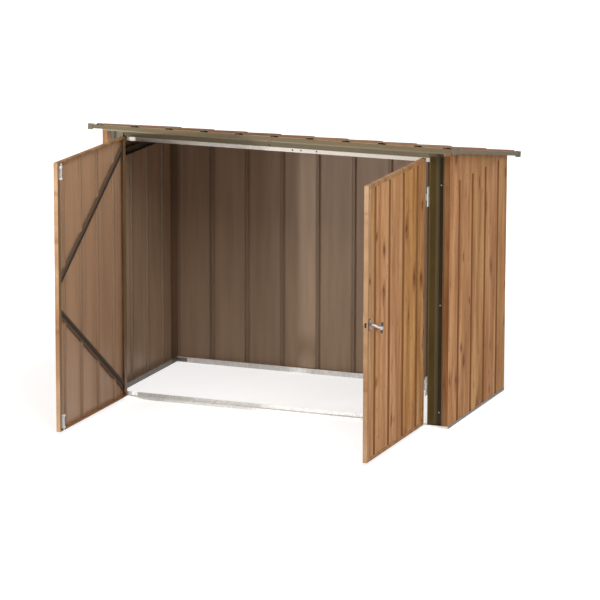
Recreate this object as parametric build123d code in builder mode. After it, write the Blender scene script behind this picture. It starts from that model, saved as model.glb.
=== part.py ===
from build123d import *
import os
from math import cos, radians, sin, tan

# Bicycle shed of folded sheet steel: a lean-to roof, ribbed walls on a channel base, and two hinged
# doors, standing open. Millimetres. The origin is the middle of the base on the ground, the front
# faces -Y, and the width runs along X.

# Overall sizes
base_width = 1917.0
base_depth = 915.0
roof_overhang = 56.5
front_height = 1460.0
roof_fall = 10.0

# Sheet thicknesses, the clearance left where two pieces only meet, and how far a cut starts outside
wall_gauge = 0.8
frame_gauge = 1.2
trim_gauge = 1.0
fit_gap = 0.3
cut_past = 1.0

# Base channel
base_lip = 14.5
base_reach = 42.0
base_flange = 28.0
anchor_edge = 27.0
anchor_spacing = 600.0
anchor_hole = 9.0
bracket_leg = 60.0
bracket_height = 20.0
bracket_gauge = 1.5

# Pressed grooves of the walls and doors
groove_mouth = 24.0
groove_floor = 10.0
groove_depth = 10.0
wall_groove_pitch = 206.0
side_groove_count = 4
back_groove_count = 8
door_groove_pitch = 202.5
door_groove_count = 4
door_groove_depth = 9.0

# Side walls
side_wall_drop = 23.0
side_rail_height = 35.0
side_rail_reach = 25.0
side_rail_drop = 11.0

# Front corners
strip_width = 40.0
strip_hem = 14.0
strip_leg = 40.0
jamb_recess = 15.0
jamb_set_back = 7.0
jamb_width = 54.0
jamb_crease = 36.0
jamb_tail = 40.0
jamb_depth = 31.0
corner_leg = 30.0

# Header over the doorway
header_drop = 67.0
header_band = 29.0
header_tuck = 24.0
header_shelf = 61.0
header_cap = 36.0
header_rail_height = 23.0
header_rail_depth = 25.0
header_rail_set_back = 39.0
rail_end_gap = 1.5
notch_gap = 2.0
bolt_hole = 10.0

# Back rail under the roof
back_rail_height = 34.0
back_rail_drop = 5.0

# Roof
roof_rib_left = 71.0
roof_rib_right = 211.0
roof_rib_count = 10
roof_rib_base = 50.0
roof_rib_crown = 34.0
roof_rib_height = 8.0
trim_height = 20.0
trim_lip = 12.0
trim_shelf = 18.0
cap_size = 32.0
cap_height = 31.0
cap_rise = 5.0
cap_gauge = 2.0
cap_corner = 5.0
clip_width = 25.0
clip_height = 18.0
clip_gauge = 1.5
clip_drop = 9.0

# Doors, drawn standing open at a right angle
doorway_half = 844.0
door_gap = 3.0
door_sill_gap = 5.0
door_head_lap = 8.5
door_thickness = 22.0
door_face_lip = 20.0
door_stile_lip = 30.0
door_rail_lip = 9.0
door_gauge = 1.0
door_proud = 11.6
door_groove_shift = 9.0
hinge_side_gap = 0.7
hinge_edge_inset = 9.0
hinge_standoff = 6.0

# Hinges
hinge_height = 100.0
hinge_inset = 200.0
knuckle_radius = 4.0
pin_radius = 2.2
pin_clearance = 0.3
leaf_gauge = 1.5
leaf_depth = 20.0
knuckle_gap = 0.5
leaf_gap = 1.0

# Diagonal door braces
brace_width = 39.0
brace_crown = 12.0
brace_flange = 9.5
brace_depth = 8.0
brace_tuck = 8.0
brace_outer_rise = 636.0
brace_inner_rise = 58.0

# Slide bolts of the left door
bolt_edge = 27.0
bolt_plate_width = 22.0
bolt_plate_height = 70.0
bolt_plate_inset = 18.0
bolt_guide_height = 10.0
bolt_guide_width = 14.0
bolt_guide_depth = 12.0
bolt_rod_radius = 3.5
bolt_rod_length = 78.0
bolt_rod_inset = 6.0
bolt_knob_radius = 3.0
bolt_knob_length = 12.0
bolt_knob_place = 56.0

# Handle of the right door
handle_edge = 30.0
handle_height = 711.0
rose_width = 44.0
rose_height = 60.0
rose_thickness = 6.0
spindle_radius = 5.0
neck_radius = 7.5
neck_taper = 12.0
stem_radius = 4.5
handle_reach = 63.0
handle_dip = 11.0
grip_radius = 6.0
grip_length = 54.0
grip_tilt = 13.0
tongue_length = 64.0
tongue_width = 16.0
tongue_thickness = 3.0
tongue_gap = 6.0
latch_hole_width = 12.0
latch_hole_height = 24.0

# Places worked out from the sizes above
wall_x = base_width / 2 - frame_gauge
wall_y = base_depth / 2 - frame_gauge
inner_x = wall_x - wall_gauge
inner_y = wall_y - wall_gauge
crest = groove_depth + wall_gauge
roof_width = base_width + 2 * roof_overhang
roof_rib_pitch = (roof_width - roof_rib_left - roof_rib_right) / (roof_rib_count - 1)
roof_front = -base_depth / 2 - roof_overhang
roof_length = (base_depth + 2 * roof_overhang) / cos(radians(roof_fall))
roof_plane = Plane(
    (0, roof_front, front_height),
    x_dir=(1, 0, 0),
    z_dir=(0, sin(radians(roof_fall)), cos(radians(roof_fall))),
)
edge_inset = cap_gauge + fit_gap
pivot_x = doorway_half - hinge_side_gap
pivot_y = -base_depth / 2 - door_proud - hinge_standoff
door_width = pivot_x - hinge_edge_inset - door_gap
header_base = front_height - header_drop
header_crease = header_base + header_band
door_base = base_lip + door_sill_gap
door_top = header_base + door_head_lap
door_height = door_top - door_base
door_face_x = pivot_x - hinge_standoff
door_edge_y = pivot_y - hinge_edge_inset


def underside(y):
    """Height of the underside of the roof sheet."""
    return front_height - (y - roof_front) * tan(radians(roof_fall))


side_wall_top = underside(wall_y) - side_wall_drop


def left_face(points, gauge):
    """Points of a fold's other face, gauge to the left of the given one."""
    spots = [Vector(*point) for point in points]
    runs = [(after - before).normalized() for before, after in zip(spots, spots[1:])]
    lefts = [Vector(-run.Y, run.X) for run in runs]
    moved = [spots[0] + lefts[0] * gauge]
    for spot, before, after in zip(spots[1:], lefts, lefts[1:]):
        both = before + after
        moved.append(spot + both * (2 * gauge / both.dot(both)))
    moved.append(spots[-1] + lefts[-1] * gauge)
    return [(spot.X, spot.Y) for spot in moved]


def fold(plane, points, gauge, length):
    """Adds a sheet bent along points of a plane, its thickness on their left, and length long."""
    with BuildSketch(plane) as section:
        with BuildLine():
            Polyline(*points, *reversed(left_face(points, gauge)), close=True)
        make_face()
    extrude(section.sketch, amount=length)


def block(low, high, mode=Mode.ADD):
    """Adds or cuts a block between two opposite corners."""
    with Locations(low):
        Box(
            high[0] - low[0],
            high[1] - low[1],
            high[2] - low[2],
            align=(Align.MIN, Align.MIN, Align.MIN),
            mode=mode,
        )


def mitre(plane, length, reach, depth):
    """Cuts both ends of a member at 45 degrees. The plane's y points into its frame."""
    with BuildSketch(plane) as outline:
        with BuildLine():
            Polyline((0, 0), (length, 0), (length - reach, reach), (reach, reach), (0, 0))
        make_face()
    extrude(outline.sketch, amount=depth, both=True, mode=Mode.INTERSECT)


def member(plane, length, reach, points, gauge):
    """Adds a mitred member. Its section is folded along points given as inward and up the plane."""
    fold(Plane(plane.origin, x_dir=plane.y_dir, z_dir=plane.x_dir), points, gauge, length)
    mitre(plane, length, reach, 2 * reach)


def grooved(start, end, centres, depth):
    """Points of a face from start to end, as place and depth, pressed in at each centre."""
    points = [(start, 0)]
    for centre in centres:
        points.append((centre - groove_mouth / 2, 0))
        points.append((centre - groove_floor / 2, depth))
        points.append((centre + groove_floor / 2, depth))
        points.append((centre + groove_mouth / 2, 0))
    points.append((end, 0))
    return points


def row(count, pitch):
    """Places of a row centred on zero."""
    return [(index - (count - 1) / 2) * pitch for index in range(count)]


def cut_to_roof():
    """Cuts off what would reach the roof sheet."""
    with BuildSketch(roof_plane.offset(-fit_gap)) as above:
        Rectangle(2 * roof_width, 3 * roof_length)
    extrude(above.sketch, amount=front_height, mode=Mode.SUBTRACT)


def door_point(along, out, up):
    """A point of the open right door: along from its hinge edge, out of its face, up from its foot."""
    return (door_face_x + out, door_edge_y - along, door_base + up)


def write(piece, name):
    """Labels a finished piece and writes its file."""
    piece.part.label = name
    export_step(piece.part, f"parts/{name}.step")


def write_pair(piece, name):
    """Writes a piece of the right side and its mirror image on the left."""
    write(piece, f"right_{name}")
    with BuildPart() as other:
        mirror(piece.part, about=Plane.YZ)
    write(other, f"left_{name}")


os.makedirs("parts", exist_ok=True)

# Base: four channels mitred at the corners, lip outside and flange inside, with anchor holes
base_section = [
    (0, base_lip),
    (0, 0),
    (base_reach, 0),
    (base_reach, base_flange),
]
base_corners = {
    "front": ((-base_width / 2, -base_depth / 2), (1, 0), base_width),
    "right": ((base_width / 2, -base_depth / 2), (0, 1), base_depth),
    "back": ((base_width / 2, base_depth / 2), (-1, 0), base_width),
    "left": ((-base_width / 2, base_depth / 2), (0, -1), base_depth),
}
anchor_x = base_width / 2 - anchor_edge
anchor_places = [(x, y) for x in (-anchor_x, anchor_x) for y in (-anchor_spacing / 2, anchor_spacing / 2)]
for side, (corner, along, length) in base_corners.items():
    with BuildPart() as base_rail:
        rail_plane = Plane((*corner, 0), x_dir=(*along, 0), z_dir=(0, 0, 1))
        member(rail_plane, length, base_reach, base_section, frame_gauge)
        with Locations(*anchor_places):
            Cylinder(anchor_hole / 2, 4 * frame_gauge, mode=Mode.SUBTRACT)
    write(base_rail, f"base_{side}_rail")

with BuildPart() as base_brackets:
    for x_side in (-1, 1):
        for y_side in (-1, 1):
            corner_x = x_side * (base_width / 2 - base_reach)
            corner_y = y_side * (base_depth / 2 - base_reach)
            corner_points = [
                (corner_x - x_side * bracket_leg, corner_y),
                (corner_x, corner_y),
                (corner_x, corner_y - y_side * bracket_leg),
            ]
            if x_side * y_side > 0:
                corner_points.reverse()
            lift = (base_flange - bracket_height) / 2
            fold(Plane.XY.offset(lift), corner_points, bracket_gauge, bracket_height)
write(base_brackets, "base_corner_brackets")

# Walls
with BuildPart() as side_wall:
    side_points = [
        (wall_x - depth, y)
        for y, depth in grooved(-wall_y, wall_y, row(side_groove_count, wall_groove_pitch), groove_depth)
    ]
    fold(Plane.XY.offset(frame_gauge), side_points, wall_gauge, side_wall_top - frame_gauge)
write_pair(side_wall, "wall_sheet")

with BuildPart() as back_wall:
    back_points = [
        (-x, wall_y - depth)
        for x, depth in grooved(-inner_x, inner_x, row(back_groove_count, wall_groove_pitch), groove_depth)
    ]
    fold(Plane.XY.offset(frame_gauge), back_points, wall_gauge, front_height)
    cut_to_roof()
write(back_wall, "back_wall_sheet")

side_section = Plane((wall_x, 0, 0), x_dir=(-1, 0, 0), z_dir=(0, 1, 0))
with BuildPart() as gable:
    gable_points = [
        (0, front_height),
        (0, side_wall_top + fit_gap),
        (crest - fit_gap, side_wall_top + fit_gap),
    ]
    fold(side_section.offset(-wall_y), gable_points, wall_gauge, 2 * wall_y)
    cut_to_roof()
    notch_top = side_wall_top + notch_gap
    front_notch = (wall_x - crest, -wall_y, side_wall_top)
    block(front_notch, (inner_x, strip_leg + notch_gap - wall_y, notch_top), Mode.SUBTRACT)
    back_notch = (wall_x - crest, wall_y - corner_leg - notch_gap, side_wall_top)
    block(back_notch, (inner_x, wall_y, notch_top), Mode.SUBTRACT)
write_pair(gable, "gable_sheet")

with BuildPart() as corner_strip:
    strip_edge = inner_x - strip_width
    strip_points = [
        (strip_edge, strip_hem - wall_y),
        (strip_edge + strip_hem, -wall_y),
        (inner_x, -wall_y),
        (inner_x, strip_leg - wall_y),
    ]
    strip_length = header_crease - fit_gap - frame_gauge
    fold(Plane.XY.offset(frame_gauge), strip_points, wall_gauge, strip_length)
write_pair(corner_strip, "front_corner_strip")

with BuildPart() as back_corner:
    back_corner_points = [
        (inner_x, inner_y - corner_leg),
        (inner_x, inner_y),
        (inner_x - corner_leg, inner_y),
    ]
    fold(Plane.XY.offset(frame_gauge), back_corner_points, frame_gauge, front_height)
    cut_to_roof()
write_pair(back_corner, "back_corner_angle")

with BuildPart() as jamb:
    jamb_front = jamb_set_back - wall_y
    jamb_floor = jamb_recess - wall_y
    jamb_points = [
        (doorway_half, jamb_front + jamb_depth),
        (doorway_half, jamb_front),
        (doorway_half + jamb_crease, jamb_front),
        (doorway_half + jamb_width, jamb_floor),
        (doorway_half + jamb_width + jamb_tail, jamb_floor),
    ]
    fold(Plane.XY.offset(frame_gauge), jamb_points, frame_gauge, header_crease - fit_gap - frame_gauge)
write_pair(jamb, "door_jamb")

# Header, with holes for the upper bolt, and the pale rail behind it
header_x = inner_x - fit_gap
bolt_x = door_gap + bolt_edge
bolt_out = -door_thickness - leaf_gauge - bolt_guide_depth / 2
bolt_y = -base_depth / 2 - door_proud - bolt_out
with BuildPart() as header:
    header_points = [
        (header_cap - wall_y, underside(header_cap - wall_y) - fit_gap),
        (-wall_y, underside(-wall_y) - fit_gap),
        (-wall_y, header_crease),
        (header_tuck - wall_y, header_base),
        (header_shelf - wall_y, header_base),
    ]
    fold(Plane.YZ.offset(-header_x), header_points, frame_gauge, 2 * header_x)
    notch_x = doorway_half - fit_gap
    notch_low = header_base - cut_past
    notch_end = header_x + cut_past
    block((notch_x, -base_depth / 2, notch_low), (notch_end, 0, header_crease), Mode.SUBTRACT)
    block((-notch_end, -base_depth / 2, notch_low), (-notch_x, 0, header_crease), Mode.SUBTRACT)
    with Locations((-bolt_x, bolt_y, header_crease - header_band / 2)):
        Cylinder(bolt_hole / 2, header_band, mode=Mode.SUBTRACT)
write(header, "header")

with BuildPart() as header_rail:
    rail_front = header_rail_set_back - wall_y
    rail_points = [
        (rail_front + header_rail_depth, header_base),
        (rail_front, header_base),
        (rail_front, header_base - header_rail_height),
        (rail_front + header_rail_depth, header_base - header_rail_height),
    ]
    rail_end = inner_x - rail_end_gap
    fold(Plane.YZ.offset(-rail_end), rail_points, frame_gauge, 2 * rail_end)
write(header_rail, "header_rail")

# Rails inside the top of the walls
back_rail_y = wall_y - crest
with BuildPart() as back_rail:
    back_rail_top = underside(back_rail_y) - back_rail_drop
    back_rail_base = back_rail_top - back_rail_height
    back_section = Plane((wall_x - crest, back_rail_y, 0), x_dir=(0, -1, 0), z_dir=(-1, 0, 0))
    back_rail_points = [
        (side_rail_reach, back_rail_top),
        (0, back_rail_top),
        (0, back_rail_base),
        (side_rail_reach, back_rail_base),
    ]
    fold(back_section, back_rail_points, frame_gauge, 2 * (wall_x - crest))
write(back_rail, "back_rail")

with BuildPart() as side_rail:
    side_rail_base = side_wall_top - side_rail_drop
    side_rail_points = [
        (crest + side_rail_reach, side_rail_base + side_rail_height),
        (crest, side_rail_base + side_rail_height),
        (crest, side_rail_base),
        (crest + side_rail_reach, side_rail_base),
    ]
    side_rail_front = jamb_floor + frame_gauge + fit_gap
    side_rail_back = back_rail_y - side_rail_reach - fit_gap
    side_rail_length = side_rail_back - side_rail_front
    fold(side_section.offset(side_rail_front), side_rail_points, frame_gauge, side_rail_length)
write_pair(side_rail, "side_rail")

# Roof: one ribbed sheet on folded edge trims, with a cap on each corner
with BuildPart() as roof_sheet:
    roof_points = [(-roof_width / 2 + edge_inset, 0)]
    rib_start = roof_rib_left - roof_width / 2
    rib_centres = [rib_start + index * roof_rib_pitch for index in range(roof_rib_count)]
    rib_centres.append(roof_width / 2 - cap_size - fit_gap - roof_rib_base / 2)
    for centre in rib_centres:
        roof_points.append((centre - roof_rib_base / 2, 0))
        roof_points.append((centre - roof_rib_crown / 2, roof_rib_height))
        roof_points.append((centre + roof_rib_crown / 2, roof_rib_height))
        roof_points.append((centre + roof_rib_base / 2, 0))
    roof_points.append((roof_width / 2 - edge_inset, 0))
    roof_section = Plane(roof_plane.origin, x_dir=(1, 0, 0), z_dir=-roof_plane.y_dir)
    sheet_length = roof_length - 2 * edge_inset
    fold(roof_section.offset(edge_inset - roof_length), roof_points, wall_gauge, sheet_length)
write(roof_sheet, "roof_sheet")

trim_x = roof_width / 2 - edge_inset
trim_near = edge_inset
trim_far = roof_length - edge_inset
trim_section = [
    (trim_shelf, 0),
    (0, 0),
    (0, -trim_height),
    (trim_lip, -trim_height),
]
trim_corners = {
    "front": ((-trim_x, trim_near), (1, 0), 2 * trim_x),
    "right": ((trim_x, trim_near), (0, 1), trim_far - trim_near),
    "back": ((trim_x, trim_far), (-1, 0), 2 * trim_x),
    "left": ((-trim_x, trim_far), (0, -1), trim_far - trim_near),
}
for side, (corner, along, length) in trim_corners.items():
    with BuildPart() as roof_trim:
        trim_along = roof_plane.x_dir * along[0] + roof_plane.y_dir * along[1]
        trim_start = roof_plane.from_local_coords((*corner, 0))
        trim_plane = Plane(trim_start, x_dir=trim_along, z_dir=roof_plane.z_dir)
        member(trim_plane, length, trim_shelf, trim_section, trim_gauge)
    write(roof_trim, f"roof_{side}_trim")

with BuildPart() as roof_caps:
    for x_side in (-1, 1):
        for end in (0, roof_length):
            x_in = x_side * (roof_width / 2 - cap_size)
            y_in = cap_size if end == 0 else roof_length - cap_size
            x_out = x_side * roof_width / 2
            x_hollow = x_side * (roof_width / 2 - cap_gauge)
            y_hollow = cap_gauge if end == 0 else roof_length - cap_gauge
            with BuildSketch(roof_plane.offset(cap_rise - cap_height)) as cap_outline:
                with Locations(((x_in + x_out) / 2, (y_in + end) / 2)):
                    RectangleRounded(cap_size, cap_size, cap_corner)
            extrude(cap_outline.sketch, amount=cap_height)
            with BuildSketch(roof_plane.offset(cap_rise - cap_height)) as cap_hollow:
                with Locations(((x_in + x_hollow) / 2 - x_side * cap_size / 2, (y_in + y_hollow) / 2)):
                    Rectangle(2 * cap_size - cap_gauge, cap_size - cap_gauge)
            extrude(cap_hollow.sketch, amount=cap_height - cap_gauge, mode=Mode.SUBTRACT)
write(roof_caps, "roof_corner_caps")

# Hinges: a fixed leaf with two knuckles and the pin, and a door leaf with the middle knuckle
hinge_heights = [door_base + hinge_inset, door_top - hinge_inset]
knuckle_height = hinge_height / 3
with BuildPart() as fixed_hinges:
    for middle in hinge_heights:
        low, high = middle - hinge_height / 2, middle + hinge_height / 2
        leaf_inside = doorway_half - leaf_gauge
        leaf_near = (leaf_inside, pivot_y + knuckle_radius + leaf_gap, low)
        leaf_far = (doorway_half, jamb_front + leaf_depth, high)
        block(leaf_near, leaf_far)
        knuckle_length = knuckle_height - knuckle_gap
        for knuckle_low in (low, high - knuckle_length):
            knuckle_high = knuckle_low + knuckle_length
            block((leaf_inside, pivot_y, knuckle_low), (doorway_half, leaf_far[1], knuckle_high))
            with BuildSketch(Plane.XY.offset(knuckle_low)) as knuckle:
                with Locations((pivot_x, pivot_y)):
                    Circle(knuckle_radius)
            extrude(knuckle.sketch, amount=knuckle_length)
        with BuildSketch(Plane.XY.offset(low)) as pin:
            with Locations((pivot_x, pivot_y)):
                Circle(pin_radius)
        extrude(pin.sketch, amount=hinge_height)
write_pair(fixed_hinges, "jamb_hinges")

with BuildPart() as door_hinges:
    for middle in hinge_heights:
        low = middle - hinge_height / 2
        knuckle_low = low + knuckle_height
        leaf_low = (door_face_x - leaf_depth, door_edge_y, low)
        block(leaf_low, (door_face_x, door_edge_y + leaf_gauge, low + hinge_height))
        neck_points = [
            (door_face_x, door_edge_y),
            (pivot_x + leaf_gauge / 2, door_edge_y),
            (pivot_x + leaf_gauge / 2, pivot_y),
        ]
        fold(Plane.XY.offset(knuckle_low), neck_points, leaf_gauge, knuckle_height)
        with BuildSketch(Plane.XY.offset(knuckle_low)) as door_knuckle:
            with Locations((pivot_x, pivot_y)):
                Circle(knuckle_radius)
        extrude(door_knuckle.sketch, amount=knuckle_height)
        with BuildSketch(Plane.XY.offset(knuckle_low)) as pin_bore:
            with Locations((pivot_x, pivot_y)):
                Circle(pin_radius + pin_clearance)
        extrude(pin_bore.sketch, amount=knuckle_height, mode=Mode.SUBTRACT)
write_pair(door_hinges, "door_hinge_leaves")

# Door frame: four channels mitred round the ribbed sheet, the stiles with the deeper inner lip
door_plane = Plane(door_point(0, 0, 0), x_dir=(0, -1, 0), z_dir=(-1, 0, 0))
door_members = {
    "hinge_stile": ((0, door_height), (0, -1), door_height),
    "lock_stile": ((door_width, 0), (0, 1), door_height),
    "bottom_rail": ((0, 0), (1, 0), door_width),
    "top_rail": ((door_width, door_height), (-1, 0), door_width),
}
for name, (corner, along, length) in door_members.items():
    with BuildPart() as door_member:
        member_along = door_plane.x_dir * along[0] + door_plane.y_dir * along[1]
        member_start = door_plane.from_local_coords((*corner, 0))
        member_plane = Plane(member_start, x_dir=member_along, z_dir=door_plane.z_dir)
        door_section = [
            (door_stile_lip if "stile" in name else door_rail_lip, door_thickness),
            (0, door_thickness),
            (0, 0),
            (door_face_lip, 0),
        ]
        member(member_plane, length, door_stile_lip, door_section, door_gauge)
    write_pair(door_member, f"door_{name}")
    if name == "lock_stile":
        with BuildPart() as latched_stile:
            add(door_member.part)
            with Locations(door_point(door_width, -door_thickness / 2, handle_height - door_base)):
                Box(latch_hole_width, 4 * door_gauge, latch_hole_height, mode=Mode.SUBTRACT)
            with Locations(door_point(door_width - handle_edge, -door_thickness, handle_height - door_base)):
                with Locations(Rotation(0, 90, 0)):
                    Cylinder(spindle_radius + 2 * fit_gap, 4 * door_gauge, mode=Mode.SUBTRACT)
        write(latched_stile, "right_door_lock_stile")

with BuildPart() as door_sheet:
    door_middle = door_width / 2 + door_groove_shift
    door_centres = [door_middle + place for place in row(door_groove_count, door_groove_pitch)]
    edge = door_gauge + fit_gap
    sheet_points = [
        (door_face_x - door_gauge - depth, door_edge_y - along)
        for along, depth in reversed(
            grooved(edge, door_width - edge, door_centres, door_groove_depth)
        )
    ]
    fold(Plane.XY.offset(door_base + edge), sheet_points, wall_gauge, door_height - 2 * edge)
write_pair(door_sheet, "door_sheet")
with BuildPart() as pierced_sheet:
    add(door_sheet.part)
    with Locations(door_point(door_width - handle_edge, -door_gauge, handle_height - door_base)):
        with Locations(Rotation(0, 90, 0)):
            Cylinder(spindle_radius + 2 * fit_gap, 4 * door_gauge, mode=Mode.SUBTRACT)
write(pierced_sheet, "right_door_sheet")

# Braces: shallow hat sections across the ribs, running behind the stiles' lips
with BuildPart() as door_braces:
    seat = -door_gauge - door_groove_depth - wall_gauge
    for rise_sign in (-1, 1):
        outer_height = door_height / 2 + rise_sign * brace_outer_rise
        start = Vector(door_point(brace_tuck, seat, outer_height))
        inner_height = door_height / 2 + rise_sign * brace_inner_rise
        end = Vector(door_point(door_width - brace_tuck, seat, inner_height))
        run = (end - start).normalized()
        brace_plane = Plane(start - run * brace_width, x_dir=Vector(1, 0, 0).cross(run), z_dir=run)
        half = brace_width / 2
        brace_points = [
            (half, 0),
            (half - brace_flange, 0),
            (brace_crown / 2, -brace_depth),
            (-brace_crown / 2, -brace_depth),
            (brace_flange - half, 0),
            (-half, 0),
        ]
        fold(brace_plane, brace_points, door_gauge, (end - start).length + 2 * brace_width)
    tuck_low = door_point(door_width - door_gauge - fit_gap, -door_thickness, door_gauge + fit_gap)
    tuck_high = door_point(door_gauge + fit_gap, 0, door_height - door_gauge - fit_gap)
    block(tuck_low, tuck_high, Mode.INTERSECT)
write_pair(door_braces, "door_braces")

# Slide bolts on the left door, drawn on the right one and mirrored
bolt_signs = {"lower": 1, "upper": -1}
with BuildPart() as bolt_plates:
    for name, sign in bolt_signs.items():
        door_end = 0 if sign > 0 else door_height
        plate_far = door_end + sign * (bolt_plate_inset + bolt_plate_height)
        plate_near = door_end + sign * bolt_plate_inset
        plate_low, plate_high = sorted((plate_near, plate_far))
        plate_along = door_width - bolt_edge + bolt_plate_width / 2
        block(
            door_point(plate_along, -door_thickness - leaf_gauge, plate_low),
            door_point(plate_along - bolt_plate_width, -door_thickness, plate_high),
        )
        guide_along = door_width - bolt_edge + bolt_guide_width / 2
        for guide_low in (plate_low, plate_high - bolt_guide_height):
            block(
                door_point(guide_along, -door_thickness - leaf_gauge - bolt_guide_depth, guide_low),
                door_point(guide_along - bolt_guide_width, -door_thickness, guide_low + bolt_guide_height),
            )
    with Locations(door_point(door_width - bolt_edge, bolt_out, door_height / 2)):
        Cylinder(bolt_rod_radius + fit_gap, door_height, mode=Mode.SUBTRACT)
with BuildPart() as left_bolt_plates:
    mirror(bolt_plates.part, about=Plane.YZ)
write(left_bolt_plates, "bolt_plates")

for name, sign in bolt_signs.items():
    with BuildPart() as bolt:
        door_end = 0 if sign > 0 else door_height
        rod_near = door_end + sign * bolt_rod_inset
        rod_middle = rod_near + sign * bolt_rod_length / 2
        with Locations(door_point(door_width - bolt_edge, bolt_out, rod_middle)):
            Cylinder(bolt_rod_radius, bolt_rod_length)
        knob_height = rod_near + sign * bolt_knob_place
        knob_along = door_width - bolt_edge + bolt_knob_length / 2
        with Locations(door_point(knob_along, bolt_out, knob_height)):
            with Locations(Rotation(90, 0, 0)):
                Cylinder(bolt_knob_radius, bolt_knob_length)
    with BuildPart() as left_bolt:
        mirror(bolt.part, about=Plane.YZ)
    write(left_bolt, f"{name}_bolt")

# Handle: a rose on the sheet, and a bent lever whose spindle carries the locking tongue inside
handle_along = door_width - handle_edge
handle_up = handle_height - door_base
handle_plane = Plane(door_point(handle_along, 0, handle_up), x_dir=(0, 1, 0), z_dir=(1, 0, 0))
with BuildPart() as rose:
    with BuildSketch(handle_plane.offset(-door_gauge)) as rose_outline:
        SlotOverall(rose_height, rose_width, rotation=90)
    extrude(rose_outline.sketch, amount=rose_thickness)
    top_edges = rose.faces().sort_by(Axis.X)[-1].edges()
    fillet(top_edges, rose_thickness / 3)
    with BuildSketch(handle_plane.offset(-2 * door_gauge)) as rose_bore:
        Circle(spindle_radius + fit_gap)
    extrude(rose_bore.sketch, amount=2 * rose_thickness, mode=Mode.SUBTRACT)
    lip_low = door_point(door_width, -2 * door_gauge, handle_up - rose_height)
    lip_high = door_point(door_width - door_face_lip - fit_gap, 0, handle_up + rose_height)
    block(lip_low, lip_high, Mode.SUBTRACT)
write(rose, "handle_rose")

with BuildPart() as handle:
    stem_foot = rose_thickness - door_gauge + fit_gap
    with BuildSketch(handle_plane.offset(stem_foot)) as neck:
        Circle(neck_radius)
    extrude(neck.sketch, amount=neck_radius / 2, taper=neck_taper)
    stem_plane = Plane(handle_plane.origin, x_dir=handle_plane.z_dir, z_dir=-handle_plane.x_dir)
    with BuildLine(stem_plane) as stem_line:
        bend = handle_reach / 2
        Bezier((stem_foot, 0), (bend, 0), (bend, -handle_dip), (handle_reach, -handle_dip))
    with BuildSketch(Plane(stem_line.line @ 0, z_dir=stem_line.line % 0)):
        Circle(stem_radius)
    sweep(path=stem_line.line)
    grip_centre = door_point(handle_along, handle_reach, handle_up - handle_dip)
    with Locations(Location(grip_centre, (-grip_tilt, 0, 0))):
        Cylinder(grip_radius, grip_length)
    grip_ends = handle.edges().filter_by(GeomType.CIRCLE).group_by(Axis.Z)
    fillet([grip_ends[0][0], grip_ends[-1][0]], grip_radius / 2)
    tongue_base = -door_thickness - tongue_gap - tongue_thickness
    with BuildSketch(handle_plane.offset(tongue_base)) as spindle:
        Circle(spindle_radius)
    extrude(spindle.sketch, amount=rose_thickness - tongue_base + cut_past)
    with BuildSketch(handle_plane.offset(tongue_base)) as tongue:
        with Locations((0, (tongue_length - tongue_width) / 2)):
            SlotOverall(tongue_length, tongue_width, rotation=90)
    extrude(tongue.sketch, amount=tongue_thickness)
write(handle, "door_handle")

# Joint clip in the middle of the front trim
with BuildPart() as clip:
    clip_plane = Plane(roof_plane.origin, x_dir=roof_plane.y_dir, z_dir=(1, 0, 0)).offset(-clip_width / 2)
    clip_face = edge_inset - fit_gap
    with BuildSketch(clip_plane) as clip_section:
        with Locations((clip_face - clip_gauge / 2, -clip_drop - clip_height / 2)):
            Rectangle(clip_gauge, clip_height)
    extrude(clip_section.sketch, amount=clip_width)
write(clip, "trim_joint_clip")
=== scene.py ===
"""Looks of the bicycle shed: wood-print steel, painted trims, zinc, screws, light and camera.

Everything is in metres in the row frame: the doors open towards -Y and Z is up.
"""

import math

import bmesh
import bpy
from mathutils import Matrix, Vector

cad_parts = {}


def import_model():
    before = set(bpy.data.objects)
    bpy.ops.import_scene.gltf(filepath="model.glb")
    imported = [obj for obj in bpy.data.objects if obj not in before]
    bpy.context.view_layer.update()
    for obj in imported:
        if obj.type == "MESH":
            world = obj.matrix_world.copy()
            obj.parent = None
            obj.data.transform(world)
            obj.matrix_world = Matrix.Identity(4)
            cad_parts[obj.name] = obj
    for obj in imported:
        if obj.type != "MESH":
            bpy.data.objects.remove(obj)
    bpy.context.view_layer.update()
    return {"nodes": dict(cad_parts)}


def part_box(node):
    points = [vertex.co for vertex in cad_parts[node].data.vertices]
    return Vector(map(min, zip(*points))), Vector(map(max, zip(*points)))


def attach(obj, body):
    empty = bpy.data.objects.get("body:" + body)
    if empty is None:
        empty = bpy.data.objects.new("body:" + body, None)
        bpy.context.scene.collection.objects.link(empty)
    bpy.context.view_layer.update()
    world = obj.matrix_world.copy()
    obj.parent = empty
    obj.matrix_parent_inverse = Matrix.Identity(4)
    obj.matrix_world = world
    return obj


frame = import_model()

NODES = frame["nodes"]
X_AXIS, Y_AXIS, Z_AXIS = 0, 1, 2
SIDES = (("right", 1.0), ("left", -1.0))

# Camera, as fitted to the photograph's dimension lines
CAMERA_AZIMUTH = math.radians(21.348)
CAMERA_ELEVATION = math.radians(12.336)
CAMERA_ROLL = math.radians(0.151)
CAMERA_DISTANCE = 19.726
CAMERA_TARGET = Vector((-0.0304, 0.0, 0.5019))
CAMERA_LENS = 224.36
SENSOR_WIDTH = 36.0

# Lamps: name, azimuth and elevation in degrees, distance, width, and power in watts
LAMPS = (
    ("key", -39.5, 0.8, 9.0, 0.6, 510.0),
    ("sweep", -21, 4, 8.0, 1.5, 125.0),
    ("front", 34, 42, 7.0, 3.0, 180.0),
    ("right_fill", 80, 18, 7.0, 3.5, 112.0),
    ("top", 10, 78, 7.0, 5.0, 120.0),
)
LAMP_AIM = Vector((0.0, -0.2, 0.7))
SURROUND_STRENGTH = 0.28

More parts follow.
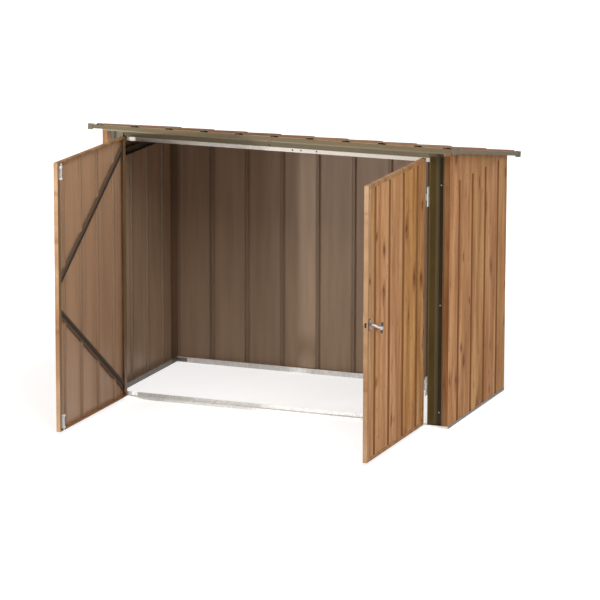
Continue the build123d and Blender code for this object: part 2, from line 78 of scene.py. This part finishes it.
# Floor: half its width, its tone, and its glow at the shed and beyond the shadow
FLOOR_HALF = 60.0
FLOOR_TONE = 0.62
GLOW_FROM, GLOW_TO = 1.4, 2.8
GLOW_AT_SHED = 0.66

# Places read from the frame
WALL_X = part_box("right_wall_sheet")[1][0]
WALL_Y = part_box("back_wall_sheet")[1][1]
WALL_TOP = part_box("right_wall_sheet")[1][2]
BASE_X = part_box("base_right_rail")[1][0]
BASE_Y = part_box("base_right_rail")[1][1]
JAMB_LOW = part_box("right_door_jamb")[0]
RAIL_LOW, RAIL_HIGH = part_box("header_rail")
LEAF_LOW, LEAF_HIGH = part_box("right_jamb_hinges")
PLATE_LOW, PLATE_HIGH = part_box("bolt_plates")
ROSE_LOW, ROSE_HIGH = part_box("handle_rose")
HANDLE_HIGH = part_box("door_handle")[1]
DOOR_FREE_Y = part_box("right_door_lock_stile")[0][1]
DOOR_HINGE_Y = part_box("right_door_hinge_stile")[1][1]

# Pressed grooves, as they are in the solids
GROOVE_PITCH = 0.206
DOOR_GROOVE_PITCH = 0.2025
DOOR_GROOVE_SHIFT = 0.009
DOOR_MIDDLE = (DOOR_FREE_Y + DOOR_HINGE_Y) / 2 - DOOR_GROOVE_SHIFT
JOINT_HALF = 0.0155

# The start and width of a board that is wider than the shed, for members of one board
ONE_BOARD = (-3.0, 6.0)

# How far the print is shifted from one board to the next, and for each step of the seed
BOARD_LIFT = 3.7
SEED_ACROSS, SEED_UP = 1.37, 0.71

# The handle's grip: the height of its middle, its inner side as seen from its end, and half
# the length of its bright middle
GRIP_MIDDLE = 0.700
GRIP_DEPTH = 0.0155
GRIP_BRIGHT_HALF = 0.0065

# Distances along X at which the jambs' paint goes over to shade in their outer fold
JAMB_FOLD = (0.885, 0.899)

# Screw heads, as radius and height
WALL_SCREW = (0.0042, 0.0022)
JAMB_SCREW = (0.0040, 0.0020)
RAIL_SCREW = (0.0044, 0.0020)
LEAF_SCREW = (0.0036, 0.0008)
PLATE_SCREW = (0.0022, 0.0007)
ROSE_SCREW = (0.0028, 0.0008)

# A screw head's outline from its foot to its crown, and its cross recess, in shares of its
# radius and height
HEAD_RIMS = ((1.0, 0.0), (1.0, 0.25), (0.93, 0.55), (0.76, 0.82), (0.55, 0.95))
CROSS_REACH, CROSS_WAIST = 0.43, 0.16
CROSS_HALF_ANGLE = 0.234
CROSS_TAPER, CROSS_FLOOR = 0.8, 0.35

# Places of the screws
BASE_SCREW_UP = 0.0080
SEAM_SCREWS = (-0.006, 0.010)
JAMB_FLANGE_BACK = 0.008
JAMB_SCREW_X = 0.9045
JAMB_SCREW_HEIGHTS = (0.080, 0.639, 1.259)
RAIL_SCREW_PLACES = (0.089, 0.136, 0.221)
LEAF_THICKNESS = 0.0015
LEAF_HALF = 0.050
LEAF_SCREW_IN = 0.014
LEAF_SCREW_PITCH = 0.036
PLATE_THICKNESS = 0.0015
PLATE_HALF = 0.035
PLATE_SCREW_SIDE = 0.0078
ROSE_SCREW_IN = 0.008

# Tints of the printed boards, as factors of the print's own tone; SHADED is painted shade on the
# corner strips, not a tone of the print
PINK = (1.07, 1.02, 1.00)
ROSY = (0.97, 0.92, 0.89)
GOLD = (1.00, 0.95, 0.72)
TAN = (0.99, 0.98, 0.87)
PALE = (0.815, 0.92, 1.12)
MILD = (0.72, 0.73, 0.72)
SHADED = (0.72, 0.65, 0.56)
BROWN = (0.50, 0.46, 0.43)
SIDE_CUT = (1.03, 1.0, 0.94)


class Shader:
    """A material's node tree, built by short calls that return output sockets."""

    def __init__(self, name):
        self.material = bpy.data.materials.new(name)
        self.material.use_nodes = True
        self.tree = self.material.node_tree
        self.surface = self.tree.nodes["Principled BSDF"]

    def feed(self, socket, value):
        """Links or sets one input. A colour of three parts gets its fourth."""
        if isinstance(value, bpy.types.NodeSocket):
            self.tree.links.new(value, socket)
        elif socket.type == "RGBA":
            socket.default_value = (*value, 1.0)
        else:
            socket.default_value = value

    def node(self, kind, inputs=(), **settings):
        """Adds a node with its settings and inputs, given as (name or index, value) pairs."""
        made = self.tree.nodes.new(kind)
        for name, value in settings.items():
            setattr(made, name, value)
        for key, value in inputs:
            self.feed(made.inputs[key], value)
        return made

    def math(self, operation, *values):
        return self.node("ShaderNodeMath", enumerate(values), operation=operation).outputs[0]

    def place(self):
        """The x, y and z of the point in the row frame at rest."""
        coordinates = self.node("ShaderNodeTexCoord")
        parts = self.node("ShaderNodeSeparateXYZ", [(0, coordinates.outputs["Object"])])
        return parts.outputs

    def facing(self, direction):
        """1 on faces that look along a direction of the object at rest, -1 on their backs."""
        coordinates = self.node("ShaderNodeTexCoord")
        inputs = [(0, coordinates.outputs["Normal"]), (1, direction)]
        product = self.node("ShaderNodeVectorMath", inputs, operation="DOT_PRODUCT")
        return product.outputs["Value"]

    def vector(self, x, y, z):
        return self.node("ShaderNodeCombineXYZ", [(0, x), (1, y), (2, z)]).outputs[0]

    def stretched(self, across, up, across_scale, up_scale, seed):
        """A place on a print, with a scale of its own each way."""
        return self.vector(self.math("MULTIPLY", across, across_scale),
                           self.math("MULTIPLY", up, up_scale), seed)

    def noise(self, vector, scale, detail, roughness=0.5):
        inputs = [("Vector", vector), ("Scale", scale), ("Detail", detail),
                  ("Roughness", roughness)]
        return self.node("ShaderNodeTexNoise", inputs).outputs["Fac"]

    def steps(self, value, low, high, start=0.0, end=1.0):
        """Value mapped smoothly from low..high to start..end."""
        inputs = [("Value", value), ("From Min", low), ("From Max", high),
                  ("To Min", start), ("To Max", end)]
        made = self.node("ShaderNodeMapRange", inputs, interpolation_type="SMOOTHSTEP")
        return made.outputs[0]

    def ramp(self, value, stops, interpolation="LINEAR"):
        """A colour ramp of (place, colour) stops."""
        made = self.node("ShaderNodeValToRGB", [(0, value)])
        made.color_ramp.interpolation = interpolation
        elements = made.color_ramp.elements
        while len(elements) < len(stops):
            elements.new(0.5)
        for element, (place, colour) in zip(elements, stops):
            element.position = place
            element.color = (*colour, 1.0)
        return made.outputs[0]

    def mix(self, factor, first, second, blend="MIX"):
        inputs = [(0, factor), (6, first), (7, second)]
        return self.node("ShaderNodeMix", inputs, data_type="RGBA", blend_type=blend).outputs[2]

    def scaled(self, colour, factor):
        """A colour times a factor that varies over the surface."""
        return self.mix(1.0, colour, self.vector(factor, factor, factor), "MULTIPLY")

    def bump(self, height, strength, distance):
        inputs = [("Height", height), ("Strength", strength), ("Distance", distance)]
        return self.node("ShaderNodeBump", inputs).outputs[0]

    def finish(self, colour, roughness, metallic=0.0, normal=None, **constants):
        """Feeds the surface shader and returns the material."""
        self.feed(self.surface.inputs["Base Color"], colour)
        self.feed(self.surface.inputs["Roughness"], roughness)
        self.feed(self.surface.inputs["Metallic"], metallic)
        if normal:
            self.feed(self.surface.inputs["Normal"], normal)
        for name, value in constants.items():
            self.surface.inputs[name.replace("_", " ")].default_value = value
        return self.material


def srgb(red, green, blue):
    """A colour of 0 to 255 values as the linear colour that nodes take."""
    def linear(value):
        value /= 255
        return value / 12.92 if value <= 0.04045 else ((value + 0.055) / 1.055) ** 2.4
    return (linear(red), linear(green), linear(blue))


PRINT_DARK = srgb(156, 106, 63)
PRINT_MIDDLE = srgb(182, 134, 88)
PRINT_LIGHT = srgb(205, 160, 114)
PRINT_RED = srgb(142, 88, 52)
PRINT_FINE = srgb(128, 82, 47)
KNOT_RING = srgb(126, 66, 36)
KNOT_HEART = srgb(86, 47, 25)
JOINT_TONE = srgb(122, 78, 40)
DOOR_BACKING = srgb(178, 142, 112)
WALL_BACKING = srgb(168, 142, 118)
LIP_BACKING = srgb(128, 102, 74)
ZINC_HAZE = srgb(176, 178, 178)
GRIP_DARK = srgb(48, 42, 38)


def knot_field(shader, shifted, height, seed, knots, spread):
    """The distance from the nearest place for a knot, in knot sizes, and 1 where it has one."""
    places = shader.stretched(shifted, height, *spread, seed)
    cells = shader.node("ShaderNodeTexVoronoi", [("Vector", places), ("Scale", 1.0)],
                        feature="F1", voronoi_dimensions="2D")
    draws = shader.node("ShaderNodeSeparateColor", [(0, cells.outputs["Color"])]).outputs
    is_knot = shader.steps(draws[0], knots, knots - 0.02)
    fray = shader.noise(shader.stretched(shifted, height, 55.0, 22.0, seed), 1.0, 3.0, 0.65)
    ragged = shader.math("ADD", cells.outputs["Distance"],
                         shader.steps(fray, 0.25, 0.75, -0.07, 0.07))
    size = shader.steps(draws[1], 0.0, 1.0, 0.55, 1.25)
    return shader.math("DIVIDE", ragged, size), is_knot


def wood_print(name, seed, along, facing, start, pitch, tints, knots=0.42, spread=(9.0, 3.8),
               backing=WALL_BACKING, turn=0.1, grooved=1.0):
    """Printed boards with upright grain on the faces that look along facing, others plain.

    along is the axis across the boards, which begin at start and are pitch wide, one for each
    tint. knots is the share of places with a knot, and spread how many places there are to a
    metre, across and up. backing is the tone of the other faces, and turn how far a face has
    to look along facing. grooved is 0 on sheets without pressed grooves between their boards.
    """
    shader = Shader(name)
    parts = shader.place()
    across, z = parts[along], parts[Z_AXIS]
    from_start = shader.math("SUBTRACT", across, start)
    share = shader.math("DIVIDE", from_start, pitch * len(tints))
    board = shader.math("FLOOR", shader.math("MULTIPLY", share, float(len(tints))))
    lift = shader.math("MULTIPLY", board, BOARD_LIFT)
    shifted = shader.math("ADD", across, seed * SEED_ACROSS)
    height = shader.math("ADD", z, shader.math("ADD", lift, seed * SEED_UP))

    # Knots bend the grain round them, and it wanders a little by itself
    apart, is_knot = knot_field(shader, shifted, height, seed, knots, spread)
    bend = shader.math("MULTIPLY", shader.steps(apart, 0.0, 0.5, 0.014, 0.0), is_knot)
    wave_place = shader.vector(shader.math("MULTIPLY", shifted, 4.0), height, seed)
    wave = shader.noise(wave_place, 1.6, 2.0)
    warp = shader.math("MULTIPLY", shader.math("SUBTRACT", wave, 0.5), 0.05)
    grain_across = shader.math("ADD", shader.math("ADD", shifted, bend), warp)

    def grain(across_scale, up_scale, detail, roughness):
        place = shader.stretched(grain_across, height, across_scale, up_scale, seed)
        return shader.noise(place, 1.0, detail, roughness)

    streaks = grain(17.0, 1.3, 4.0, 0.6)
    flames = grain(11.0, 1.5, 2.0, 0.5)
    fine = grain(330.0, 7.0, 3.0, 0.6)
    blots = grain(42.0, 10.0, 3.0, 0.6)

    tones = [(0.35, PRINT_DARK), (0.50, PRINT_MIDDLE), (0.65, PRINT_LIGHT)]
    stops = [(index / len(tints), tint) for index, tint in enumerate(tints)]
    colour = shader.mix(1.0, shader.ramp(streaks, tones), shader.ramp(share, stops, "CONSTANT"),
                        "MULTIPLY")
    colour = shader.mix(shader.steps(flames, 0.54, 0.72, 0.0, 0.26), colour, PRINT_RED)
    colour = shader.mix(shader.steps(fine, 0.35, 0.62, 0.20, 0.0), colour, PRINT_FINE)
    colour = shader.mix(shader.steps(blots, 0.57, 0.70, 0.0, 0.50), colour, KNOT_RING)
    ring = shader.math("MULTIPLY", shader.steps(apart, 0.05, 0.30, 0.72, 0.0), is_knot)
    colour = shader.mix(ring, colour, KNOT_RING)
    heart = shader.math("MULTIPLY", shader.steps(apart, 0.04, 0.12, 0.75, 0.0), is_knot)
    colour = shader.mix(heart, colour, KNOT_HEART)

    # The boards' joints lie in the pressed grooves and are printed dark
    off_joint = shader.math("PINGPONG", from_start, pitch / 2)
    joint = shader.steps(off_joint, JOINT_HALF - 0.005, JOINT_HALF + 0.003, 0.92 * grooved, 0.0)
    colour = shader.mix(joint, colour, JOINT_TONE)

    # The plain backing has a faint upright mottle, and painted shade on the backs of the grooves
    mottle_place = shader.vector(shader.math("MULTIPLY", shifted, 14.0), z, seed)
    mottle = shader.steps(shader.noise(mottle_place, 1.3, 3.0, 0.55), 0.3, 0.7, 0.90, 1.08)
    ridge_shade = shader.steps(off_joint, JOINT_HALF - 0.002, JOINT_HALF + 0.004,
                         1.0 - 0.27 * grooved, 1.0)
    plain = shader.scaled(backing, shader.math("MULTIPLY", ridge_shade, mottle))
    printed = shader.steps(shader.facing(facing), turn - 0.08, turn + 0.08)
    colour = shader.mix(printed, plain, colour)
    roughness = shader.math("SUBTRACT", shader.steps(fine, 0.3, 0.7, 0.70, 0.60),
                            shader.steps(printed, 1.0, 0.0, 0.0, 0.28))
    return shader.finish(colour, roughness, 0.0, shader.bump(fine, 0.18, 0.0006),
                         Specular_IOR_Level=0.22)


def painted(name, colour, seed, roughness=0.42, metallic=0.0, painted_shade=None):
    """Satin paint on folded sheet: a fine peel, and slightly uneven tone along the member.

    The last argument, (near, far, factor), is painted shade: between two distances along X from
    the shed's middle the tone goes over to factor of itself, as shade falls in a fold.
    """
    shader = Shader(name)
    x, y, z = shader.place()
    cloud = shader.noise(shader.vector(x, y, shader.math("ADD", z, seed)), 2.6, 3.0, 0.55)
    peel = shader.noise(shader.vector(x, y, z), 900.0, 1.0, 0.5)
    shade = shader.scaled(colour, shader.steps(cloud, 0.3, 0.7, 0.90, 1.10))
    if painted_shade:
        near, far, factor = painted_shade
        away = shader.math("ABSOLUTE", x)
        shade = shader.scaled(shade, shader.steps(away, near, far, 1.0, factor))
    gloss = shader.steps(cloud, 0.3, 0.7, roughness - 0.05, roughness + 0.06)
    return shader.finish(shade, gloss, metallic, shader.bump(peel, 0.12, 0.0003),
                         Specular_IOR_Level=0.3)


def galvanised(name, colour, seed, metallic=0.6):
    """Zinc-coated steel: flat spangle crystals of slightly different tone and gloss."""
    shader = Shader(name)
    x, y, z = shader.place()
    spot = shader.vector(x, y, shader.math("ADD", z, seed))
    cells = shader.node("ShaderNodeTexVoronoi", [("Vector", spot), ("Scale", 95.0)],
                        feature="F1")
    crystal = shader.node("ShaderNodeSeparateColor", [(0, cells.outputs["Color"])]).outputs[0]
    haze = shader.noise(spot, 7.0, 4.0, 0.6)
    shade = shader.scaled(colour, shader.steps(crystal, 0.0, 1.0, 0.90, 1.06))
    shade = shader.mix(shader.steps(haze, 0.45, 0.75, 0.0, 0.30), shade, ZINC_HAZE)
    gloss = shader.math("ADD", shader.steps(crystal, 0.0, 1.0, 0.32, 0.44),
                        shader.steps(haze, 0.3, 0.7, 0.0, 0.12))
    return shader.finish(shade, gloss, metallic, None, Specular_IOR_Level=0.5)


def plastic(name, colour):
    """Moulded plastic with a fine spark texture."""
    shader = Shader(name)
    x, y, z = shader.place()
    grit = shader.noise(shader.vector(x, y, z), 1400.0, 2.0, 0.6)
    lighter = tuple(1.5 * part for part in colour)
    shade = shader.mix(shader.steps(grit, 0.35, 0.7, 0.0, 0.25), colour, lighter)
    return shader.finish(shade, shader.steps(grit, 0.3, 0.7, 0.5, 0.62), 0.0,
                         shader.bump(grit, 0.25, 0.0002))


def cast_metal(name, colour, dark_grip=0.0):
    """A plated casting, faintly brushed. dark_grip is 1 on the piece whose grip's ends are dark."""
    shader = Shader(name)
    x, y, z = shader.place()
    brush_place = shader.vector(shader.math("MULTIPLY", x, 30.0), y,
                                shader.math("MULTIPLY", z, 400.0))
    brushed = shader.steps(shader.noise(brush_place, 1.0, 2.0, 0.6), 0.3, 0.7, 0.22, 0.40)
    off_middle = shader.math("ABSOLUTE", shader.math("SUBTRACT", z, GRIP_MIDDLE))
    grip_x = HANDLE_HIGH[0] - GRIP_DEPTH
    on_grip = shader.steps(x, grip_x - 0.001, grip_x, 0.0, dark_grip)
    ends = shader.steps(off_middle, GRIP_BRIGHT_HALF, GRIP_BRIGHT_HALF + 0.002)
    dark = shader.math("MULTIPLY", ends, on_grip)
    metallic = shader.math("SUBTRACT", 1.0, dark)
    gloss = shader.math("ADD", brushed, shader.math("MULTIPLY", dark, 0.3))
    return shader.finish(shader.mix(dark, colour, GRIP_DARK), gloss, metallic)


def dress(material, *nodes):
    """Gives CAD nodes one material."""
    for node in nodes:
        mesh = NODES[node].data
        mesh.materials.clear()
        mesh.materials.append(material)


def dress_wood():
    """The printed sheets and door frames."""
    wall_tints = [tuple(part * cut for part, cut in zip(tint, SIDE_CUT))
                  for tint in (PINK, ROSY, TAN, ROSY, TAN)]
    back_tints = (TAN, PINK, ROSY, TAN, PINK, ROSY, PINK, TAN, ROSY)
    door_tints = (TAN, PINK, ROSY, GOLD, TAN)
    wall_start = -len(wall_tints) / 2 * GROOVE_PITCH
    back_start = -len(back_tints) / 2 * GROOVE_PITCH
    door_start = DOOR_MIDDLE - len(door_tints) / 2 * DOOR_GROOVE_PITCH
    for number, (side, out) in enumerate(SIDES):
        seed = number + 1.0
        facing = (out, 0.0, 0.0)
        wall = (Y_AXIS, facing, wall_start, GROOVE_PITCH, wall_tints)
        frame_member = (Y_AXIS, facing, *ONE_BOARD)
        dress(wood_print(f"wood_{side}_wall", seed, *wall), f"{side}_wall_sheet")
        dress(wood_print(f"wood_{side}_gable", seed, *wall, knots=0.70, grooved=0.0),
              f"{side}_gable_sheet")
        dress(wood_print(f"wood_{side}_door", seed + 20, Y_AXIS, facing, door_start,
                         DOOR_GROOVE_PITCH, door_tints, backing=DOOR_BACKING),
              f"{side}_door_sheet")
        # The corner strips' print is darkened by SHADED: painted shade.
        dress(wood_print(f"wood_{side}_strip", seed + 30, X_AXIS, (0.7 * out, -0.7, 0.0),
                         *ONE_BOARD, (SHADED,), knots=0.35, spread=(26.0, 8.0), grooved=0.0),
              f"{side}_front_corner_strip")
        for order, member in enumerate(("hinge_stile", "lock_stile")):
            dress(wood_print(f"wood_{side}_{member}", seed + 40 + order, *frame_member, (PALE,),
                             knots=0.2, spread=(30.0, 6.0), backing=LIP_BACKING, turn=-0.6,
                             grooved=0.0), f"{side}_door_{member}")
        dress(wood_print(f"wood_{side}_rails", seed + 50, *frame_member, (MILD,), knots=0.0,
                         spread=(9.0, 1.7), backing=LIP_BACKING, turn=-2.0, grooved=0.0),
              f"{side}_door_top_rail", f"{side}_door_bottom_rail")
    dress(wood_print("wood_back_wall", 3.0, X_AXIS, (0.0, 1.0, 0.0), back_start, GROOVE_PITCH,
                     back_tints), "back_wall_sheet")
    dress(wood_print("wood_roof", 4.0, X_AXIS, (0.0, 0.17, 0.98), *ONE_BOARD, (BROWN,),
                     knots=0.0, grooved=0.0), "roof_sheet")


def dress_metal():
    """The painted and zinc members, the caps and the handle."""
    # The jambs' paint is darkened towards their outer fold: painted shade.
    dress(painted("jamb_paint", srgb(84, 68, 32), 1.0, painted_shade=(*JAMB_FOLD, 0.36)),
          "left_door_jamb", "right_door_jamb")
    dress(painted("header_paint", srgb(112, 102, 78), 2.0, metallic=0.15), "header")
    dress(painted("trim_paint", srgb(92, 77, 50), 3.0, roughness=0.5),
          "roof_front_trim", "roof_back_trim", "roof_left_trim", "roof_right_trim")
    dress(painted("corner_paint", srgb(120, 94, 72), 5.0),
          "left_back_corner_angle", "right_back_corner_angle")
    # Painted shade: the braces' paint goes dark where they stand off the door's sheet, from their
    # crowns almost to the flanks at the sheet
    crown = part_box("right_door_braces")[0][0]
    crown_shade = (crown + 0.0075, crown + 0.0065, 0.20)
    dress(painted("brace_paint", srgb(118, 92, 70), 6.0, roughness=0.62, painted_shade=crown_shade),
          "left_door_braces", "right_door_braces")
    # One zinc in two tones: painted light on the front and back base rails, painted shade on the
    # side base rails, the inner rails and the brackets.
    dress(galvanised("painted_light_zinc", srgb(238, 236, 232), 1.0, 0.25),
          "base_front_rail", "base_back_rail")
    dress(galvanised("rail_zinc", srgb(149, 142, 134), 2.0), "header_rail")
    dress(galvanised("painted_shade_zinc", srgb(112, 106, 98), 3.0, 0.4),
          "base_left_rail", "base_right_rail", "base_corner_brackets", "back_rail",
          "left_side_rail", "right_side_rail")
    dress(galvanised("galvanised_hardware", srgb(214, 215, 214), 5.0),
          "left_jamb_hinges", "right_jamb_hinges", "left_door_hinge_leaves",
          "right_door_hinge_leaves", "bolt_plates", "upper_bolt", "lower_bolt")
    dress(plastic("cap_plastic", srgb(80, 72, 48)), "roof_corner_caps")
    dress(plastic("clip_plastic", srgb(92, 68, 34)), "trim_joint_clip")
    dress(cast_metal("handle_metal", srgb(168, 164, 160), 1.0), "door_handle")
    # The rose is the handle's metal with painted shade and a painted reflection of the brown print.
    dress(cast_metal("rose_shade_and_reflection", srgb(116, 98, 82)), "handle_rose")


def screw_heads(name, body, finish, size, spots):
    """One piece of round screw heads with cross recesses.

    finish is a material and a slot's name, which is not used, and size a head's radius and height.
    spots are pairs of a place and an outward direction.
    """
    material, slot = finish
    radius, height = size
    arms = []
    for quarter in range(4):
        middle = quarter * math.pi / 2
        arms += [(middle - CROSS_HALF_ANGLE, CROSS_REACH), (middle + CROSS_HALF_ANGLE, CROSS_REACH),
                 (middle + math.pi / 4, CROSS_WAIST)]
    rings = [[(angle, share * radius, lift * height) for angle, _ in arms]
             for share, lift in HEAD_RIMS]
    rings.append([(angle, share * radius, height) for angle, share in arms])
    rings.append([(angle, CROSS_TAPER * share * radius, CROSS_FLOOR * height)
                  for angle, share in arms])
    shape = bmesh.new()
    for place, direction in spots:
        turn = Vector(direction).normalized().to_track_quat("Z", "Y").to_matrix().to_4x4()
        stand = Matrix.Translation(Vector(place)) @ turn
        rows = []
        for ring in rings:
            points = [Vector((away * math.cos(angle), away * math.sin(angle), lift))
                      for angle, away, lift in ring]
            rows.append([shape.verts.new(stand @ point) for point in points])
        for lower, upper in zip(rows, rows[1:]):
            for index in range(len(arms)):
                after = (index + 1) % len(arms)
                shape.faces.new((lower[index], lower[after], upper[after], upper[index]))
        shape.faces.new(rows[-1])
        shape.faces.new(list(reversed(rows[0])))
    mesh = bpy.data.meshes.new(name)
    shape.to_mesh(mesh)
    shape.free()
    mesh.materials.append(material)
    piece = bpy.data.objects.new(name, mesh)
    bpy.context.collection.objects.link(piece)
    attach(piece, body)


def wall_screws(head):
    """Screws that hold the walls to the base, to the back rail and to the gables."""
    boards = [(index - 2) * GROOVE_PITCH for index in range(5)]
    for side, out in SIDES:
        outward = (out, 0.0, 0.0)
        spots = [((out * BASE_X, y, BASE_SCREW_UP), outward) for y in boards]
        spots += [((out * WALL_X, y, WALL_TOP + step), outward)
                  for y in boards for step in SEAM_SCREWS]
        screw_heads(f"{side}_wall_screws", "shed", head, WALL_SCREW, spots)
    backward = (0.0, 1.0, 0.0)
    places = [(index - 4) * GROOVE_PITCH for index in range(9)]
    spots = [((x, BASE_Y, BASE_SCREW_UP), backward) for x in places]
    rail_low, rail_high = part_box("back_rail")
    spots += [((x, WALL_Y, (rail_low[2] + rail_high[2]) / 2), backward) for x in places]
    screw_heads("back_wall_screws", "shed", head, WALL_SCREW, spots)


def front_screws(head, dark):
    """Screws of the jambs' outer flanges and of the rail over the doorway."""
    forward = (0.0, -1.0, 0.0)
    flange = JAMB_LOW[1] + JAMB_FLANGE_BACK
    spots = [((x, flange, z), forward)
             for x in (-JAMB_SCREW_X, JAMB_SCREW_X) for z in JAMB_SCREW_HEIGHTS]
    screw_heads("jamb_screws", "shed", head, JAMB_SCREW, spots)
    middle = (RAIL_LOW[2] + RAIL_HIGH[2]) / 2
    spots = [((x, RAIL_LOW[1], middle), forward) for x in RAIL_SCREW_PLACES]
    screw_heads("header_rail_screws", "shed", dark, RAIL_SCREW, spots)


def hinge_screws(head):
    """Flush screws in the four fixed leaves."""
    deep = LEAF_HIGH[1] - LEAF_SCREW_IN
    for side, out in SIDES:
        leaf_face = out * (JAMB_LOW[0] - LEAF_THICKNESS)
        spots = [((leaf_face, deep, middle + shift), (-out, 0.0, 0.0))
                 for middle in (LEAF_LOW[2] + LEAF_HALF, LEAF_HIGH[2] - LEAF_HALF)
                 for shift in (-LEAF_SCREW_PITCH, 0.0, LEAF_SCREW_PITCH)]
        screw_heads(f"{side}_hinge_screws", "shed", head, LEAF_SCREW, spots)


def door_screws(head):
    """Screws of the slide bolts' plates and of the handle's rose."""
    rightward = (1.0, 0.0, 0.0)
    middle_y = (PLATE_LOW[1] + PLATE_HIGH[1]) / 2
    seat = PLATE_LOW[0] + PLATE_THICKNESS
    spots = [((seat, middle_y + side, centre), rightward)
             for centre in (PLATE_LOW[2] + PLATE_HALF, PLATE_HIGH[2] - PLATE_HALF)
             for side in (-PLATE_SCREW_SIDE, PLATE_SCREW_SIDE)]
    screw_heads("bolt_plate_screws", "left_door", head, PLATE_SCREW, spots)
    rose_middle = (ROSE_LOW[1] + ROSE_HIGH[1]) / 2
    spots = [((ROSE_HIGH[0], rose_middle, z), rightward)
             for z in (ROSE_LOW[2] + ROSE_SCREW_IN, ROSE_HIGH[2] - ROSE_SCREW_IN)]
    screw_heads("rose_screws", "right_door", head, ROSE_SCREW, spots)


def background_rays(tree):
    """1 on rays that see the background: the camera's, and those in reflections and glass."""
    paths = tree.nodes.new("ShaderNodeLightPath").outputs
    seen = paths["Is Camera Ray"]
    for ray in ("Is Glossy Ray", "Is Transmission Ray"):
        either = tree.nodes.new("ShaderNodeMath")
        either.operation = "MAXIMUM"
        tree.links.new(seen, either.inputs[0])
        tree.links.new(paths[ray], either.inputs[1])
        seen = either.outputs[0]
    return seen


def stage():
    """A wide pale floor that fades to white and keeps a soft shadow near the shed."""
    half = FLOOR_HALF
    mesh = bpy.data.meshes.new("floor")
    corners = [(-half, -half, 0), (half, -half, 0), (half, half, 0), (-half, half, 0)]
    mesh.from_pydata(corners, [], [(0, 1, 2, 3)])
    floor = bpy.data.objects.new("floor", mesh)
    bpy.context.collection.objects.link(floor)
    shader = Shader("floor_white")
    x, y, _ = shader.place()
    squares = shader.math("ADD", shader.math("MULTIPLY", x, x), shader.math("MULTIPLY", y, y))
    glow = shader.steps(shader.math("SQRT", squares), GLOW_FROM, GLOW_TO, GLOW_AT_SHED, 1.0)
    strength = shader.math("MULTIPLY", background_rays(shader.tree), glow)
    shader.feed(shader.surface.inputs["Emission Color"], (1.0, 1.0, 1.0))
    shader.feed(shader.surface.inputs["Emission Strength"], strength)
    tone = (FLOOR_TONE, FLOOR_TONE, FLOOR_TONE)
    mesh.materials.append(shader.finish(tone, 0.9, 0.0, None, Specular_IOR_Level=0.0))


def world():
    """Soft surrounding light, white to the camera and in reflections."""
    made = bpy.data.worlds.new("studio")
    made.use_nodes = True
    bpy.context.scene.world = made
    tree = made.node_tree
    surround = tree.nodes["Background"]
    white = tree.nodes.new("ShaderNodeBackground")
    for background, strength in ((surround, SURROUND_STRENGTH), (white, 1.0)):
        background.inputs["Color"].default_value = (1.0, 1.0, 1.0, 1.0)
        background.inputs["Strength"].default_value = strength
    choose = tree.nodes.new("ShaderNodeMixShader")
    tree.links.new(background_rays(tree), choose.inputs[0])
    tree.links.new(surround.outputs[0], choose.inputs[1])
    tree.links.new(white.outputs[0], choose.inputs[2])
    tree.links.new(choose.outputs[0], tree.nodes["World Output"].inputs[0])


def bearing(azimuth, elevation):
    """The direction out to angles in radians. Azimuth 0 is in front, a quarter turn at right."""
    return Vector((math.sin(azimuth) * math.cos(elevation),
                   -math.cos(azimuth) * math.cos(elevation), math.sin(elevation)))


def lamp(name, azimuth, elevation, distance, size, power):
    """A square area lamp aimed at the shed."""
    out = bearing(math.radians(azimuth), math.radians(elevation))
    light = bpy.data.lights.new(name, "AREA")
    light.size = size
    light.energy = power
    made = bpy.data.objects.new(name, light)
    made.location = LAMP_AIM + out * distance
    made.rotation_euler = out.to_track_quat("Z", "Y").to_euler()
    bpy.context.collection.objects.link(made)


def camera():
    """The photograph's camera, turned a little about its own axis."""
    back = bearing(CAMERA_AZIMUTH, CAMERA_ELEVATION)
    level = Vector((math.cos(CAMERA_AZIMUTH), math.sin(CAMERA_AZIMUTH), 0.0))
    right = Matrix.Rotation(CAMERA_ROLL, 3, back) @ level
    up = back.cross(right)
    lens = bpy.data.cameras.new("camera")
    lens.lens = CAMERA_LENS
    lens.sensor_width = SENSOR_WIDTH
    made = bpy.data.objects.new("camera", lens)
    stand = Matrix((right, up, back)).transposed().to_4x4()
    stand.translation = CAMERA_TARGET + back * CAMERA_DISTANCE
    made.matrix_world = stand
    bpy.context.collection.objects.link(made)
    bpy.context.scene.camera = made


dress_wood()
dress_metal()
painted_head = (painted("painted_screws", srgb(150, 112, 78), 7.0), "wood_print_steel")
zinc_head = (galvanised("zinc_screws", srgb(190, 190, 186), 7.0), "galvanised_steel")
dark_head = (painted("dark_screws", srgb(44, 40, 36), 8.0), "dark_steel")
wall_screws(painted_head)
front_screws(zinc_head, dark_head)
hinge_screws(zinc_head)
door_screws(zinc_head)
stage()
world()
for settings in LAMPS:
    lamp(*settings)
camera()
bpy.context.scene.view_settings.view_transform = "Standard"
